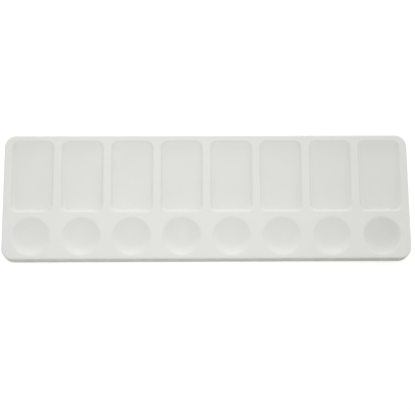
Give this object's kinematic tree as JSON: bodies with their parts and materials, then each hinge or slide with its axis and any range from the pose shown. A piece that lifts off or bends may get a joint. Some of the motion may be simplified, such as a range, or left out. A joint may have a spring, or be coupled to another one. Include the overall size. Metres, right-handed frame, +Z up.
{
  "type": "mixing palette",
  "caption": "Shallow moulded paint palette: a row of slanting rectangular wells behind a row of round dished wells, in one thin shell with a short skirt, open underneath.",
  "frame": {"origin": "middle of the rim that the tray stands on", "axes": "+X along the rows of wells, +Y from the round wells towards the rectangular wells, +Z up out of the wells"},
  "size_m": [0.32, 0.1004, 0.0125],
  "materials": {
    "tray": "satin off-white moulded plastic"
  },
  "bodies": {
    "root": {"palette_tray": "tray"}
  },
  "joints": []
}
